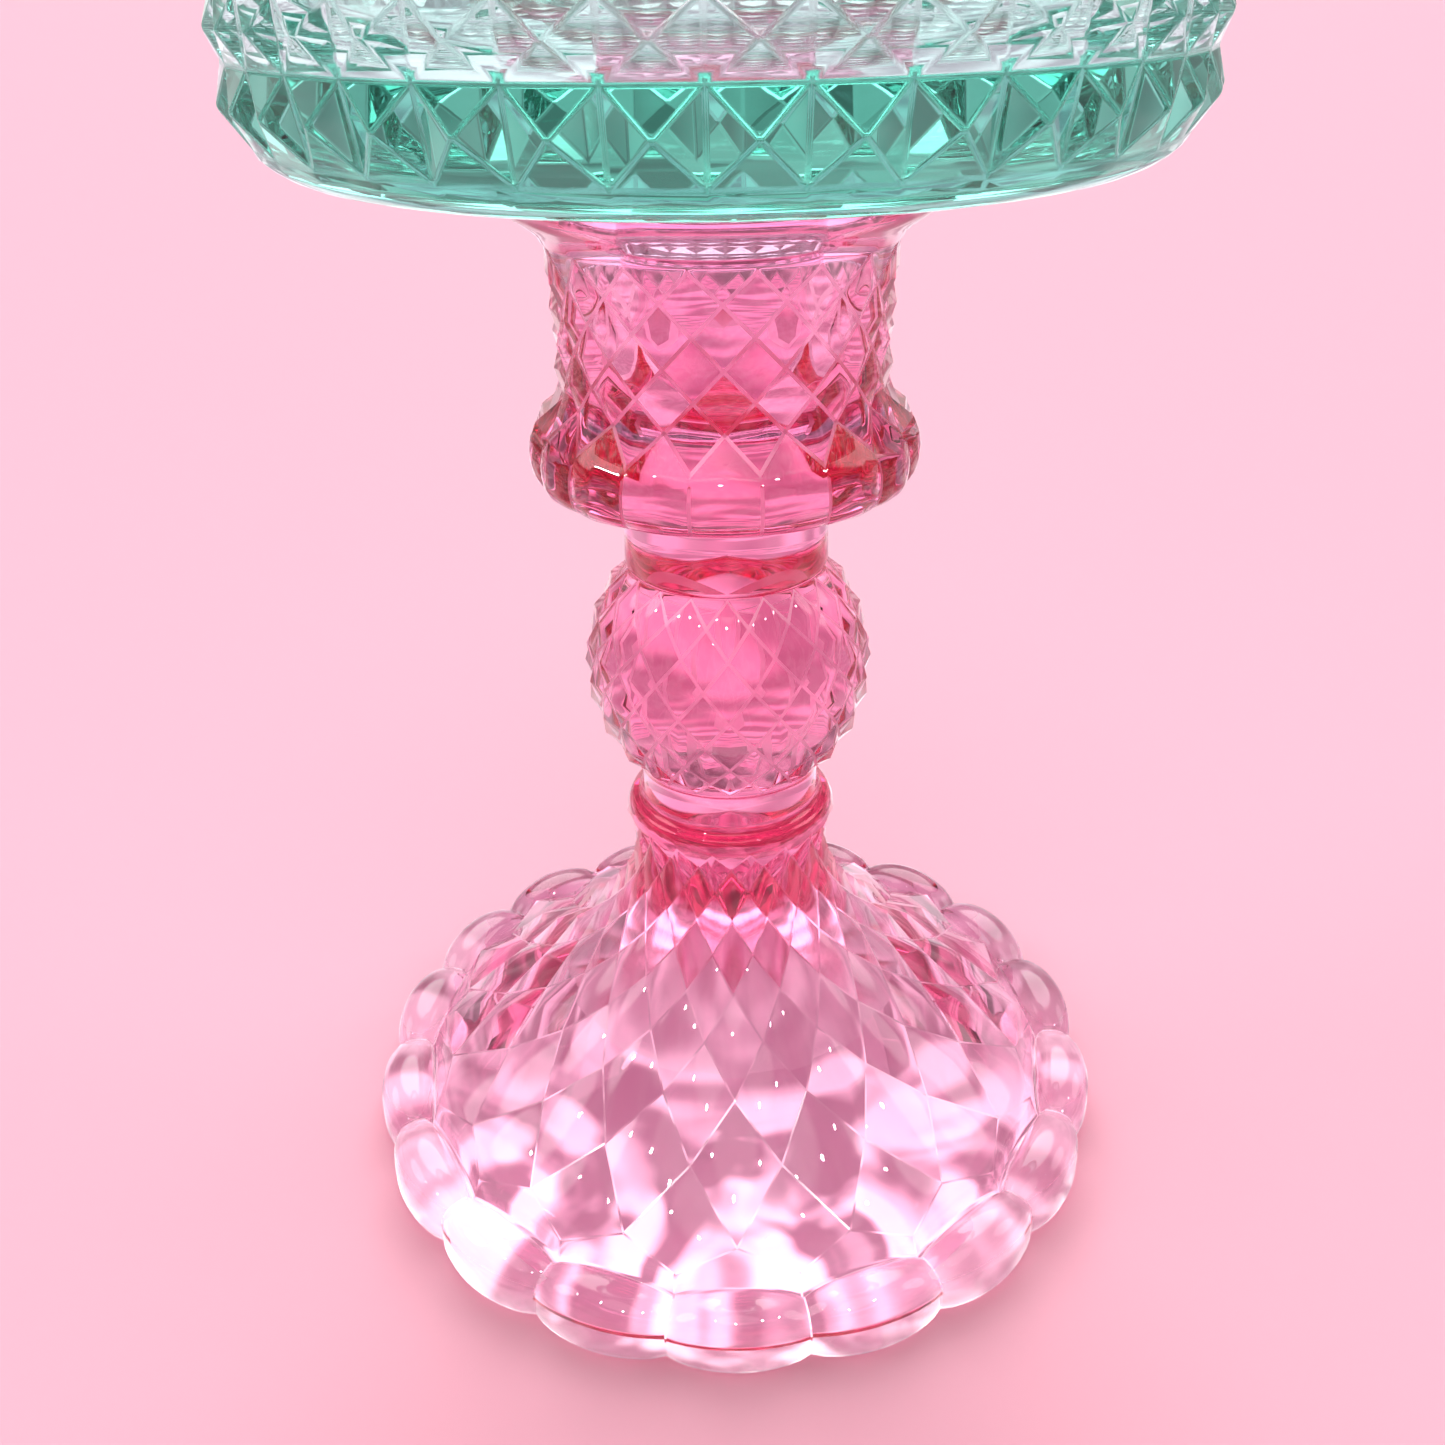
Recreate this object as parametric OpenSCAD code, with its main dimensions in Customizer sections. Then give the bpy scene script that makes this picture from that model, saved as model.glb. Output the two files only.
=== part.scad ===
// Pressed-glass candy dish: a straight-sided bowl bonded on top of a candlestick.
// Millimetres. +Z is up, the origin is on the table under the middle of the foot.
// Angles start at the front (-Y) and grow towards the right (+X).

/* [Bowl] */
// Radius of the bowl's side at the bottom of its grooves
bowl_r = 56.8; // [50:0.1:66]
// Height of the bowl
bowl_h = 62; // [52:0.5:75]
// Thickness of the glass under the bowl's inside
bowl_floor = 12.2; // [10:0.1:15]
// Thickness of the bowl's wall behind the grooves
bowl_wall = 4.6; // [3:0.1:6]
// Radius of the corner between the bowl's floor and wall, inside
bowl_inner_corner = 5; // [2:0.5:8]
// Radius of the rounded edge under the bowl
bowl_corner = 8; // [4:0.5:9]
// Number of pyramids around the bowl
bowl_columns = 40; // [30:1:48]
// Number of rows of pyramids above the row beside the floor
bowl_rows = 6; // [4:1:6]
// Height of one row of pyramids
bowl_row_h = 6.7; // [5.5:0.1:7.5]
// How far a pyramid's tip stands out from the grooves
bowl_relief = 1.15; // [0.6:0.05:1.6]
// Angle that the bowl was turned by when it was bonded on
bowl_turn = -1.2; // [-4:0.1:4]

/* [Joint] */
// Thickness of the clear adhesive
glue_h = 0.2; // [0.1:0.05:0.5]
// Distance of the adhesive from both edges of the lip's flat top
glue_inset = 1.5; // [0.5:0.1:3]

/* [Candlestick] */
// Number of diamonds, panels and lobes around the candlestick
columns = 18; // [14:1:24]
// Outer radius of the lip
lip_r = 28.8; // [26:0.1:33]
// Height of the smooth flare and lip
lip_h = 9.6; // [8.5:0.1:12]
// Radius of the diamond-cut cup in its grooves
cup_r = 21.4; // [18.5:0.1:25]
// Height of the diamond-cut cup
cup_h = 19.4; // [16:0.1:24]
// Radius of the panelled bulge at its ridges
bulge_r = 26.4; // [25:0.1:30]
// Height of the panelled bulge
bulge_h = 11.5; // [9.5:0.1:14]
// Radius of the neck above the ball
neck_r = 14.6; // [12.5:0.1:17]
// Height of the neck above the ball
neck_h = 13.7; // [11:0.1:16.5]
// Radius of the diamond-cut ball in its grooves
ball_r = 20.4; // [19:0.1:24.5]
// Height of the ball
ball_h = 31.2; // [26:0.1:34]
// Radius of the waist under the ball
waist_r = 13.6; // [11.5:0.1:16]
// Height of the waist under the ball
waist_h = 7.2; // [6:0.1:9]
// Depth of the candle socket
socket_depth = 34; // [20:0.5:38]
// Radius of the candle socket at its mouth
socket_r = 13.5; // [10:0.1:15]
// Radius of the candle socket at its bottom
socket_bottom_r = 11.5; // [8:0.1:13]
// How far the diamonds stand out
relief = 1.1; // [0.5:0.05:1.4]

/* [Foot] */
// Radius of the foot between its lobes
foot_r = 59.4; // [56:0.1:72]
// Height of the foot
foot_h = 59.4; // [49:0.1:72]
// Radius of the foot's top ledge
ledge_r = 15.9; // [14.5:0.1:17.5]
// How far a lobe stands out sideways
lobe_out = 2.2; // [1:0.1:3]
// Height of the rim between two lobes
rim_h = 6.9; // [5.5:0.1:8.5]
// How far a lobe stands out upwards
lobe_up = 2.9; // [1.5:0.1:3.5]
// Width of the flat ring that the foot rests on
rest_w = 5.4; // [4:0.1:8]
// Height of the hollow under the foot
hollow_h = 36.4; // [25:0.1:40]

/* [Hidden] */
$fn = 96;
pink = [0.93, 0.45, 0.66];
teal = [0.30, 0.78, 0.66];
clear = [0.92, 0.95, 0.95];
over = 1;                          // how far a cut runs past the surface
half_turn = 180;

// Heights of the candlestick's stages, from the table up
z_waist = foot_h;
z_ball = z_waist + waist_h;
z_neck = z_ball + ball_h;
z_bulge = z_neck + neck_h;
z_cup = z_bulge + bulge_h;
z_lip = z_cup + cup_h;
stick_h = z_lip + lip_h;
z_bowl = stick_h + glue_h;

// Pattern counts
foot_rows = 8;                     // half rows of diamonds on the foot
ball_rows = 8;                     // half rows of diamonds on the ball
cup_rows = 5;                      // half rows of diamonds on the cup
lobe_steps = 4;                    // points across one lobe
corner_steps = 5;

// Foot
skirt_r = foot_r - 10.8;           // radius at the lowest row of diamonds
skirt_z = rim_h + 4.1;             // height there
skirt_top_r = waist_r + 0.8;       // radius at the highest row
skirt_top_z = foot_h - 5.9;
skirt_bend = 2.35;                 // how sharply the trumpet opens
skirt_crown = 2.2;                 // how far it bows up from a straight cone

// Candle socket and lip
lip_flat_r = lip_r - 1.4;
cup_flare = 1.4;                   // how much wider the cup is at its top

// ---- shared functions -------------------------------------------------

// A point at radius r, angle a from the front, and height z
function polar(r, a, z) = [r * sin(a), -r * cos(a), z];

function unit(v) = v / norm(v);

// Faces of the strip between two rings of n points, which start at a and b
function strip(a, b, n, slant = 0) = [
    for (k = [0 : n - 1])
        let (m = (k + 1) % n)
        each (k + slant) % 2 == 0
            ? [[a + k, b + k, b + m], [a + k, b + m, a + m]]
            : [[a + k, b + k, a + m], [b + k, b + m, a + m]]];

// The face that closes a ring, seen from below or from above
function floor_face(a, n) = [for (k = [0 : n - 1]) a + k];
function roof_face(a, n) = [for (k = [n - 1 : -1 : 0]) a + k];

// ---- bowl -------------------------------------------------------------

bowl_step = 360 / bowl_columns;
row_z0 = z_bowl + bowl_floor;                  // rows count up from here
band_z = row_z0 + bowl_rows * bowl_row_h;      // start of the plain band
bowl_top = z_bowl + bowl_h;
bowl_in_r = bowl_r - bowl_wall;
floor_row_bottom = z_bowl + bowl_corner * 0.56;

// Radius of the rounded edge under the bowl at height z
function edge_r(z) = bowl_r - bowl_corner
    + sqrt(max(0, pow(bowl_corner, 2) - pow(z_bowl + bowl_corner - z, 2)));

// [radius, height, 1 where a row of pyramids starts], from the underside to the rim
bowl_outline = concat(
    [for (k = [0 : corner_steps - 1])
        let (z = z_bowl + (floor_row_bottom - z_bowl) * pow(k / corner_steps, 2))
        [edge_r(z), z, 0]],
    [[edge_r(floor_row_bottom) - 0.4, floor_row_bottom, 1]],
    [for (k = [0 : bowl_rows]) [bowl_r, row_z0 + k * bowl_row_h, k < bowl_rows ? 1 : 0]],
    [[bowl_r + 0.5, band_z + 0.8, 0], [bowl_r + 0.5, bowl_top - 1.5, 0],
     [bowl_r, bowl_top - 0.4, 0], [bowl_r - 0.9, bowl_top, 0]]);

module bowl_blank() {
    n = bowl_columns;
    last = len(bowl_outline) - 1;
    rings = [for (p = bowl_outline) each [for (k = [0 : n - 1])
        polar(p[0], k * bowl_step + bowl_turn, p[1])]];
    starts = [for (i = [0 : last - 1]) if (bowl_outline[i][2] == 1) i];
    tips = [for (i = starts) each
        let (a = bowl_outline[i], b = bowl_outline[i + 1], z = (a[1] + b[1]) / 2)
        [for (k = [0 : n - 1]) polar(bowl_r + bowl_relief, (k + 0.5) * bowl_step + bowl_turn, z)]];
    tip0 = len(rings);
    plain = [for (i = [0 : last - 1]) if (bowl_outline[i][2] == 0)
        each strip(i * n, (i + 1) * n, n)];
    pyramids = [for (s = [0 : len(starts) - 1]) each
        let (a = starts[s] * n, b = a + n, t = tip0 + s * n)
        [for (k = [0 : n - 1])
            let (m = (k + 1) % n)
            each [[a + k, b + k, t + k], [b + k, b + m, t + k],
                  [b + m, a + m, t + k], [a + m, a + k, t + k]]]];
    polyhedron(concat(rings, tips),
        concat([floor_face(0, n), roof_face(last * n, n)], plain, pyramids));
}

// Outline of the space inside the bowl
module bowl_space() {
    r = bowl_inner_corner;
    rotate_extrude() {
        translate([0, row_z0]) square([bowl_in_r - r, bowl_h]);
        translate([0, row_z0 + r]) square([bowl_in_r, bowl_h]);
        translate([bowl_in_r - r, row_z0 + r]) circle(r);
    }
}

module candy_bowl() {
    color(teal) difference() {
        bowl_blank();
        bowl_space();
    }
}

// ---- adhesive ---------------------------------------------------------

module glue_ring() {
    color(clear) translate([0, 0, stick_h]) difference() {
        cylinder(h = glue_h, r = lip_flat_r - glue_inset);
        translate([0, 0, -over]) cylinder(h = glue_h + 2 * over, r = socket_r + glue_inset);
    }
}

// ---- candlestick ------------------------------------------------------

// Each ring is [radius, height, how far its raised points stand out, phase]. With phase 0
// the grooves cross at the front, and with phase 1 they cross half a column to the side.
function skirt_ring(t) = [
    skirt_top_r + (skirt_r - skirt_top_r) * pow(t, skirt_bend),
    skirt_top_z + (skirt_z - skirt_top_z) * t + skirt_crown * sin(half_turn * t),
    relief * (0.75 + 0.35 * t), round(t * foot_rows) % 2];

ball_mid = z_ball + ball_h / 2;
ball_span = asin(ball_h / 2 / (ball_r + 0.6));
function ball_ring(k) =
    let (a = ball_span * (2 * k / ball_rows - 1))
    [(ball_r + (k == 0 || k == ball_rows ? 0.6 : 0)) * cos(a), ball_mid + (ball_r + 0.6) * sin(a),
     k == 0 || k == ball_rows ? 0 : relief * 0.9, k % 2];

function cup_ring(k) =
    let (t = k / cup_rows)
    [cup_r + cup_flare * pow(t, 6), z_cup + t * cup_h, k == cup_rows ? 0 : relief, k % 2];

stick_outline = concat(
    // lower edge of the skirt, then the diamonds of the foot
    [[foot_r - 7.4, rim_h + 2.0, 0.5, 0]],
    [for (k = [foot_rows : -1 : 0]) skirt_ring(k / foot_rows)],
    // ledge and waist
    [[ledge_r + 0.2, foot_h - 2.4, 0, 1], [ledge_r - 0.4, foot_h - 0.5, 0, 0],
     [waist_r + 0.9, foot_h + 0.3, 0, 0], [waist_r, z_waist + waist_h * 0.3, 0, 0],
     [waist_r, z_waist + waist_h * 0.8, 0, 0]],
    [for (k = [0 : ball_rows]) ball_ring(k)],
    // neck, and the underside of the bulge
    [[neck_r, z_neck + 0.8, 0, 0], [neck_r, z_bulge - 4.5, 0, 0],
     [neck_r + 1.2, z_bulge - 2.4, 0, 0], [bulge_r - 2.6, z_bulge - 0.6, 0, 0]],
    // panels of the bulge
    [[bulge_r - 1.3, z_bulge + 0.4, 0.4, 1], [bulge_r - 0.5, z_bulge + bulge_h * 0.2, 0.6, 1],
     [bulge_r - 0.7, z_bulge + bulge_h * 0.4, 0.8, 1],
     [bulge_r - 2.0, z_bulge + bulge_h * 0.66, 1.3, 1]],
    [for (k = [0 : cup_rows]) cup_ring(k)],
    // flare and lip
    [[cup_r + 2.0, z_lip + 0.9, 0, 0], [cup_r + 3.2, z_lip + 1.9, 0, 0],
     [lip_r - 1.9, z_lip + 3.2, 0, 0], [lip_r - 0.5, z_lip + 4.4, 0, 0],
     [lip_r, z_lip + 6.2, 0, 0], [lip_r, stick_h - 1.0, 0, 0],
     [lip_r - 0.4, stick_h - 0.3, 0, 0], [lip_flat_r, stick_h, 0, 0]]);

// Outward direction of the outline at ring i
function outward(i) =
    let (a = stick_outline[max(i - 1, 0)],
         b = stick_outline[min(i + 1, len(stick_outline) - 1)],
         d = unit([b[0] - a[0], b[1] - a[1]]))
    [d[1], -d[0]];

function stick_point(i, k) =
    let (p = stick_outline[i],
         raised = (k + p[3]) % 2 == 0 ? 0 : p[2],
         n = outward(i))
    polar(p[0] + raised * n[0], k * half_turn / columns, p[1] + raised * n[1]);

// How much of a lobe is reached at point k around the foot: 1 at its middle, 0 beside it
function lobe_part(k) =
    let (u = ((k + lobe_steps / 2) % lobe_steps - lobe_steps / 2) / (lobe_steps / 2))
    1 - u * u;

// Rim of the foot, from the table over the lobes to the groove:
// [radius, how much more on a lobe, height, how much more on a lobe]
rim_outline = [
    [foot_r - 0.4, lobe_out, 0, 0],
    [foot_r, lobe_out, 0.8, 0],
    [foot_r - 0.2, lobe_out * 0.95, rim_h * 0.6, lobe_up * 0.6],
    [foot_r - 1.0, lobe_out * 0.8, rim_h * 0.84, lobe_up * 0.83],
    [foot_r - 2.1, lobe_out * 0.45, rim_h * 0.96, lobe_up],
    [foot_r - 3.2, 0, rim_h, lobe_up],
    [foot_r - 4.4, -lobe_out * 0.45, rim_h, lobe_up * 0.83],
    [foot_r - 5.3, -lobe_out * 0.65, rim_h - 0.3, lobe_up * 0.5],
    [foot_r - 5.8, -lobe_out * 0.65, rim_h - 0.9, lobe_up * 0.25]];

module stick_blank() {
    n = 2 * columns;
    m = lobe_steps * columns;
    rims = len(rim_outline);
    last = len(stick_outline) - 1;
    rim_points = [for (p = rim_outline) each [for (k = [0 : m - 1])
        let (c = lobe_part(k))
        polar(p[0] + p[1] * c, k * 360 / m, p[2] + p[3] * c)]];
    stick0 = len(rim_points);
    stick_points = [for (i = [0 : last]) each [for (k = [0 : n - 1]) stick_point(i, k)]];
    groove = (rims - 1) * m;
    rim_faces = [for (i = [0 : rims - 2]) each strip(i * m, (i + 1) * m, m)];
    // the groove has two points for each one of the skirt
    joint_faces = [for (k = [0 : n - 1]) each
        let (a = groove + 2 * k, b = a + 1, c = groove + (2 * k + 2) % m,
             d = stick0 + k, e = stick0 + (k + 1) % n)
        [[a, d, b], [d, e, b], [b, e, c]]];
    stick_faces = [for (i = [0 : last - 1]) each
        strip(stick0 + i * n, stick0 + (i + 1) * n, n, stick_outline[i][3])];
    polyhedron(concat(rim_points, stick_points),
        concat([floor_face(0, m), roof_face(stick0 + last * n, n)],
            rim_faces, joint_faces, stick_faces));
}

// Hollow under the foot: a smooth trumpet-shaped dome
module foot_hollow() {
    hollow_r = foot_r - rest_w;
    steps = 24;
    rotate_extrude() polygon(concat(
        [[0, -over], [hollow_r, -over]],
        [for (k = [0 : steps])
            let (s = 1 - k / steps)
            [hollow_r * s, hollow_h * pow(1 - pow(s, 1.5), 1.37)]]));
}

// Candle socket: a tapered hole with a rounded bottom
module candle_socket() {
    r = socket_bottom_r;
    floor_z = stick_h - socket_depth;
    rotate_extrude() {
        intersection() {
            translate([0, floor_z + r]) circle(r);
            translate([0, floor_z]) square([r, r]);
        }
        polygon([[0, floor_z + r], [r, floor_z + r], [socket_r, stick_h], [socket_r, stick_h + over],
                 [0, stick_h + over]]);
    }
}

module candlestick() {
    color(pink) difference() {
        stick_blank();
        foot_hollow();
        candle_socket();
    }
}

candlestick();
glue_ring();
candy_bowl();
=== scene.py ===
import math

import bmesh
import bpy
from bpy.props import FloatProperty, FloatVectorProperty, IntProperty, PointerProperty
from mathutils import Matrix, Vector


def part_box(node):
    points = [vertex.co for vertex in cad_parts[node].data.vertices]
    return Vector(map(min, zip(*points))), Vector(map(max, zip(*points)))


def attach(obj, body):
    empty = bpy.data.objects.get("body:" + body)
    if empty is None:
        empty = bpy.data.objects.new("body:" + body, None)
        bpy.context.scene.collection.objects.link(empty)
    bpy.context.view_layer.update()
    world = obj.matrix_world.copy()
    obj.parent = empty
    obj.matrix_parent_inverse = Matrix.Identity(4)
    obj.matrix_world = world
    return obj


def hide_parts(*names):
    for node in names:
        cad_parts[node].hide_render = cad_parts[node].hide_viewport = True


bl_info = {
    "name": "Pressed Glass Candy Dish",
    "version": (1, 0, 0),
    "blender": (4, 5, 0),
    "location": "View3D > Sidebar > Candy Dish",
    "description": "Builds a pressed-glass bowl bonded on a diamond-cut candlestick",
    "category": "Add Mesh",
}

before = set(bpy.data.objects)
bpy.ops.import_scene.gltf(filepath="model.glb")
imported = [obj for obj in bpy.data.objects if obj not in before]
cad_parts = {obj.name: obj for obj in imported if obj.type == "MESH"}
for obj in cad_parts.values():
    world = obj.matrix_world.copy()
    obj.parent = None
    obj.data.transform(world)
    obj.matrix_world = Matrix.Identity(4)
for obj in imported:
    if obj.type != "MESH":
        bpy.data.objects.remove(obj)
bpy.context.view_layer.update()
BOWL_LOW, BOWL_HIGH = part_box("candy_bowl")
STICK_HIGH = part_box("candlestick")[1]
GLUE_LOW, GLUE_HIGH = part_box("glue_ring")

MM = 0.001
FULL_TURN = 2 * math.pi
SKIN_GAP = 0.03 * MM        # how far the ends, the rim and the lip stay inside the solids


# ---- sizes and colours ------------------------------------------------------

def length(name, description, default):
    return FloatProperty(name=name, description=description, default=default, min=0.0,
                         unit="LENGTH", precision=5)


def colour(name, description, default):
    return FloatVectorProperty(name=name, description=description, default=default,
                               size=4, min=0.0, max=1.0, subtype="COLOR")


class BowlSizes(bpy.types.PropertyGroup):
    radius: length("Radius", "Radius at the bottom of the grooves", 56.8 * MM)
    floor: length("Floor", "Thickness of glass under the inside", 12.2 * MM)
    wall: length("Wall", "Thickness of the wall behind the grooves", 4.6 * MM)
    inner_corner: length("Inner corner", "Radius between floor and wall", 5.0 * MM)
    corner: length("Outer corner", "Radius of the rounded edge underneath", 8.0 * MM)
    row_height: length("Row height", "Height of a row above the floor row", 6.7 * MM)
    relief: length("Relief", "How far a pyramid stands out", 1.32 * MM)
    columns: IntProperty(name="Columns", description="Pyramids around the bowl",
                         default=40, min=8)
    rows: IntProperty(name="Rows", description="Rows of pyramids above the floor row",
                      default=6, min=1)
    turn: FloatProperty(name="Turn", description="Angle the bowl was bonded on at",
                        default=math.radians(-1.2), subtype="ANGLE")


class StickSizes(bpy.types.PropertyGroup):
    columns: IntProperty(name="Columns", description="Diamonds, panels and lobes around",
                         default=18, min=6)
    lip_radius: length("Lip radius", "Outer radius of the lip", 28.8 * MM)
    cup_radius: length("Cup radius", "Radius of the cup in its grooves", 21.4 * MM)
    cup_height: length("Cup height", "Height of the diamond-cut cup", 19.4 * MM)
    bulge_radius: length("Bulge radius", "Nominal radius of the panelled bulge", 26.4 * MM)
    bulge_height: length("Bulge height", "Height of the panelled bulge", 11.5 * MM)
    neck_radius: length("Neck radius", "Radius of the neck above the ball", 14.6 * MM)
    neck_height: length("Neck height", "Height of the neck above the ball", 13.7 * MM)
    ball_radius: length("Ball radius", "Radius of the ball in its grooves", 20.4 * MM)
    ball_height: length("Ball height", "Height of the ball", 31.2 * MM)
    waist_radius: length("Waist radius", "Radius under the ball", 13.6 * MM)
    waist_height: length("Waist height", "Height under the ball", 7.2 * MM)
    relief: length("Relief", "How far the cup's diamonds stand out; the others follow it",
                   1.1 * MM)
    socket_depth: length("Socket depth", "Depth of the candle socket", 34.0 * MM)
    socket_radius: length("Socket radius", "Radius of the socket's mouth", 13.5 * MM)
    socket_bottom: length("Socket bottom", "Radius of the socket's bottom", 11.5 * MM)


class FootSizes(bpy.types.PropertyGroup):
    radius: length("Radius", "Radius of the foot between its lobes", 59.4 * MM)
    height: length("Height", "Height of the foot", 59.4 * MM)
    ledge_radius: length("Ledge radius", "Radius of the ledge on top", 15.9 * MM)
    lobe_out: length("Lobe width", "How far a lobe stands out sideways", 2.0 * MM)
    lobe_up: length("Lobe height", "How far a lobe stands out upwards", 2.9 * MM)
    rim_height: length("Rim height", "Height of the rim between lobes", 6.9 * MM)
    rest_width: length("Rest width", "Width of the ring it stands on", 5.4 * MM)
    hollow_height: length("Hollow height", "Height of the hollow underneath", 36.4 * MM)


class GlassColours(bpy.types.PropertyGroup):
    pink: colour("Pink", "Tint of the candlestick's surface", (0.93, 0.61, 0.76, 1.0))
    pink_inside: colour("Pink inside", "Tint of its depth", (0.92, 0.05, 0.40, 1.0))
    pink_depth: FloatProperty(name="Pink depth", description="Density of its tint per metre",
                              default=33.0, min=0.0)
    teal: colour("Teal", "Tint of the bowl's surface", (0.81, 0.885, 0.875, 1.0))
    teal_inside: colour("Teal inside", "Tint of its depth", (0.17, 0.76, 0.67, 1.0))
    teal_depth: FloatProperty(name="Teal depth", description="Density of its tint per metre",
                              default=20.0, min=0.0)
    index: FloatProperty(name="Index", description="Refractive index of the glass",
                         default=1.52, min=1.0)


class StageSizes(bpy.types.PropertyGroup):
    floor_radius: length("Floor radius", "Radius of the round floor", 12.0)
    floor_colour: colour("Floor colour", "Pale colour of the floor", (0.84, 0.405, 0.50, 1.0))
    # behind the glass and in reflections the floor is a darker copy of its colour that glows
    # with painted light
    floor_through: colour("Floor through glass", "Colour of the floor behind the glass",
                          (0.46, 0.31, 0.39, 1.0))
    camera_distance: length("Camera distance", "From the axis to the camera", 180 * MM)
    camera_height: length("Camera height", "From the floor to the camera", 174.4 * MM)
    camera_pitch: FloatProperty(name="Pitch", description="How far the camera looks down",
                                default=math.radians(29.92), subtype="ANGLE")
    camera_yaw: FloatProperty(name="Yaw", description="How far the camera turns sideways",
                              default=math.radians(-0.32), subtype="ANGLE")
    camera_roll: FloatProperty(name="Roll", description="How far the camera leans",
                               default=math.radians(-1.04), subtype="ANGLE")
    lens: FloatProperty(name="Lens", description="Focal length in millimetres",
                        default=33.67, min=1.0)


# ---- turning and cutting ----------------------------------------------------

ROUND_CUTS = 5              # extra points between two columns where a ring is curved
TIP = -1                    # row number given to the points of the bowl's pyramids


def turned_skin(rows, columns):
    """A skin turned on the Z axis from rows that start with a radius and a height. It is closed
    where the rows begin and end on the axis, or end where they began."""
    bm = bmesh.new()
    row_of = bm.verts.layers.float.new("row")
    bm.faces.layers.float.new("frost")
    line = []
    for i, row in enumerate(rows):
        v = bm.verts.new((0.0, -row[0], row[1]))
        v[row_of] = i
        line.append(v)
    edges = [bm.edges.new(pair) for pair in zip(line, line[1:])]
    bmesh.ops.spin(bm, geom=line + edges, cent=(0, 0, 0), axis=(0, 0, 1), dvec=(0, 0, 0),
                   angle=FULL_TURN, space=Matrix.Identity(4), steps=columns,
                   use_merge=True, use_normal_flip=False, use_duplicate=False)
    bmesh.ops.remove_doubles(bm, verts=bm.verts, dist=1e-7)
    return bm, row_of


def angle_of(v):
    """Angle of a point from the front (-Y) towards the right (+X)."""
    return math.atan2(v.co.x, -v.co.y)


def column_of(v, columns):
    """Number of the nearest column."""
    return round(angle_of(v) / FULL_TURN * columns) % columns


def on_column(v, columns):
    """Whether a point stands on a column and not between two."""
    share = angle_of(v) / FULL_TURN * columns
    return abs(share - round(share)) < 0.01


def cut_round(bm, row_of, is_round):
    """Adds points along the rings of the rows that is_round picks, so that they can curve."""
    ring_edges = [e for e in bm.edges
                  if round(e.verts[0][row_of]) == round(e.verts[1][row_of])
                  and is_round(round(e.verts[0][row_of]))]
    bmesh.ops.subdivide_edges(bm, edges=ring_edges, cuts=ROUND_CUTS, use_grid_fill=True)


def place(v, radius, height, turn=0.0):
    """Moves a point to a radius and height, at its own angle plus a turn."""
    a = angle_of(v) + turn
    v.co = Vector((radius * math.sin(a), -radius * math.cos(a), height))


def mark_frost(bm, faces, amount):
    """Marks how frosted some faces are, from 0 to 1."""
    frost = bm.faces.layers.float["frost"]
    for f in faces:
        f[frost] = amount


def finish_piece(bm, name, material, *nodes, slot):
    """Turns the bmesh into a piece that stands for its CAD node."""
    bmesh.ops.recalc_face_normals(bm, faces=bm.faces)
    for f in bm.faces:
        f.smooth = True
    mesh = bpy.data.meshes.new(name)
    bm.to_mesh(mesh)
    bm.free()
    mesh.materials.append(material)
    piece = bpy.data.objects.new(name, mesh)
    bpy.context.scene.collection.objects.link(piece)
    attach(piece, "root")
    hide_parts(*nodes)
    return piece


def weight_normals(piece):
    """Keeps the large facets flat and lets their narrow edges turn between them."""
    mod = piece.modifiers.new("Facets", "WEIGHTED_NORMAL")
    mod.mode = "FACE_AREA"
    mod.weight = 80
    mod.keep_sharp = False


# ---- glass ------------------------------------------------------------------

WAVE_SIZE, GRAIN_SIZE = 90.0, 1400.0    # noise scales of the glass's waves and its grain
WAVE_HEIGHT = 0.02 * MM
FROST_ROUGHNESS = 0.85                  # roughness of glass that is frosted all over
FROST_TINT = (1.0, 0.97, 0.98, 1.0)


def noise(nodes, links, where, scale, detail, distortion=0.0):
    """Cloudy pattern over the coordinates in the socket where."""
    cloud = nodes.new("ShaderNodeTexNoise")
    cloud.inputs["Scale"].default_value = scale
    cloud.inputs["Detail"].default_value = detail
    cloud.inputs["Distortion"].default_value = distortion
    links.new(where, cloud.inputs["Vector"])
    return cloud


def spread(nodes, links, value, low, high, at_low, at_high, ease="SMOOTHSTEP"):
    """Socket that goes from at_low to at_high while the socket value goes from low to high."""
    span = nodes.new("ShaderNodeMapRange")
    span.interpolation_type = ease
    span.inputs["From Min"].default_value = low
    span.inputs["From Max"].default_value = high
    span.inputs["To Min"].default_value = at_low
    span.inputs["To Max"].default_value = at_high
    links.new(value, span.inputs["Value"])
    return span.outputs["Result"]


def combine(nodes, links, operation, first, second):
    """Socket with the sum or product of two sockets."""
    math_node = nodes.new("ShaderNodeMath")
    math_node.operation = operation
    links.new(first, math_node.inputs[0])
    links.new(second, math_node.inputs[1])
    return math_node.outputs["Value"]


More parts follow.
